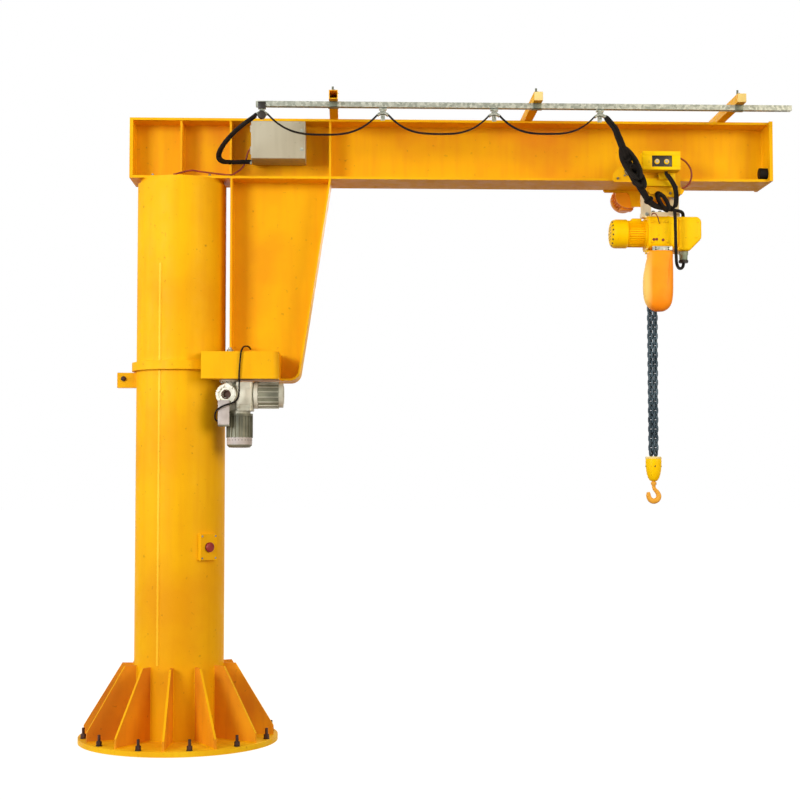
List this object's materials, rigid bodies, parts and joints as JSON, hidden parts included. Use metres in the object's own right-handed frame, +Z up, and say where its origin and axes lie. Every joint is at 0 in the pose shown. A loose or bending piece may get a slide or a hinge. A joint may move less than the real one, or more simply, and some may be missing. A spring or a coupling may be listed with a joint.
{
  "type": "pillar jib crane",
  "caption": "Floor-mounted pillar jib crane: round column on a gusseted base, motor-slewed H-section jib with haunch and roller yoke, powered trolley, electric chain hoist and cable festoon.",
  "frame": {"origin": "centre of the base plate's underside, on the floor at the column's axis", "axes": "+Z up along the column, +X along the jib from the column to the tip, -Y the side that carries the festoon and the cabinet"},
  "size_m": [4.1478, 1.233, 3.752],
  "materials": {
    "yellow_paint": "satin",
    "hoist_paint": "semi-gloss",
    "motor_orange": "semi-gloss",
    "bag_plastic": "matte",
    "bare_steel": "oiled",
    "galvanised": "galvanised",
    "cast_alloy": "cast",
    "cabinet_paint": "satin",
    "black_rubber": "matte",
    "chain_steel": "blackened",
    "red_plastic": "gloss"
  },
  "bodies": {
    "column": {"base_plate": "yellow_paint", "base_gussets": "yellow_paint", "column_tube": "yellow_paint", "head_plate": "bare_steel", "guide_ring": "yellow_paint", "stop_ear": "yellow_paint", "stop_station": "yellow_paint"},
    "button": {"stop_button": "red_plastic"},
    "jib": {"jib_flanges": "yellow_paint", "jib_web": "yellow_paint", "jib_end_plates": "yellow_paint", "jib_stiffeners": "yellow_paint", "slew_bearing": "yellow_paint", "haunch_web": "yellow_paint", "haunch_flanges": "yellow_paint", "yoke_plates": "yellow_paint", "yoke_cheeks": "yellow_paint", "ring_rollers": "bare_steel", "slew_gearbox": "cast_alloy", "slew_motor": "cast_alloy", "cabinet": "cabinet_paint", "end_buffers": "black_rubber", "festoon_arms": "yellow_paint", "festoon_rail": "galvanised", "festoon_clamp": "galvanised", "supply_cable": "black_rubber", "jib_wires": "black_rubber", "festoon_loop_1": "black_rubber"},
    "carriage_1": {"festoon_carriage_1": "galvanised", "festoon_loop_2": "black_rubber"},
    "carriage_2": {"festoon_carriage_2": "galvanised", "festoon_loop_3": "black_rubber"},
    "carriage_3": {"festoon_carriage_3": "galvanised"},
    "trolley": {"trolley_plates": "yellow_paint", "trolley_wheels": "bare_steel", "trolley_bars": "bare_steel", "travel_motor": "motor_orange", "control_box": "hoist_paint", "hoist_hanger": "bare_steel", "hoist_motor": "hoist_paint", "hoist_housing": "hoist_paint", "hoist_cover": "hoist_paint", "chain_bag": "bag_plastic", "load_chain": "chain_steel", "hoist_cables": "black_rubber"},
    "block": {"hook_block": "hoist_paint"},
    "hook": {"hook": "hoist_paint"}
  },
  "joints": [
    {"name": "slew", "type": "hinge", "parent": "column", "child": "jib", "pos_m": [0, 0, 3.317], "axis": [0, 0, 1], "range_deg": [-106, 106]},
    {"name": "trolley_travel", "type": "slide", "parent": "jib", "child": "trolley", "axis": [1, 0, 0], "range_m": [-1.7, 0.53]},
    {"name": "festoon_travel_1", "type": "slide", "parent": "jib", "child": "carriage_1", "axis": [1, 0, 0], "range_m": [-0.62, 0.2], "deforming": ["festoon_loop_1"]},
    {"name": "festoon_travel_2", "type": "slide", "parent": "carriage_1", "child": "carriage_2", "axis": [1, 0, 0], "range_m": [-0.57, 0.19], "deforming": ["festoon_loop_2"]},
    {"name": "festoon_travel_3", "type": "slide", "parent": "carriage_2", "child": "carriage_3", "axis": [1, 0, 0], "range_m": [-0.54, 0.18], "deforming": ["festoon_loop_3"]},
    {"name": "hook_lift", "type": "slide", "parent": "trolley", "child": "block", "axis": [0, 0, 1], "range_m": [0, 1.2], "deforming": ["load_chain"]},
    {"name": "hook_swivel", "type": "hinge", "parent": "block", "child": "hook", "pos_m": [2.857, 0, 1.5], "axis": [0, 0, 1], "continuous": true},
    {"name": "stop_push", "type": "slide", "parent": "column", "child": "button", "axis": [-0.6428, 0.766, 0], "range_m": [0, 0.005], "stiffness_N_per_m": 2500}
  ],
  "couplings": [
    {"joint": "festoon_travel_1", "follows": "trolley_travel", "ratio": 0.359},
    {"joint": "festoon_travel_2", "follows": "trolley_travel", "ratio": 0.3295},
    {"joint": "festoon_travel_3", "follows": "trolley_travel", "ratio": 0.3115}
  ]
}
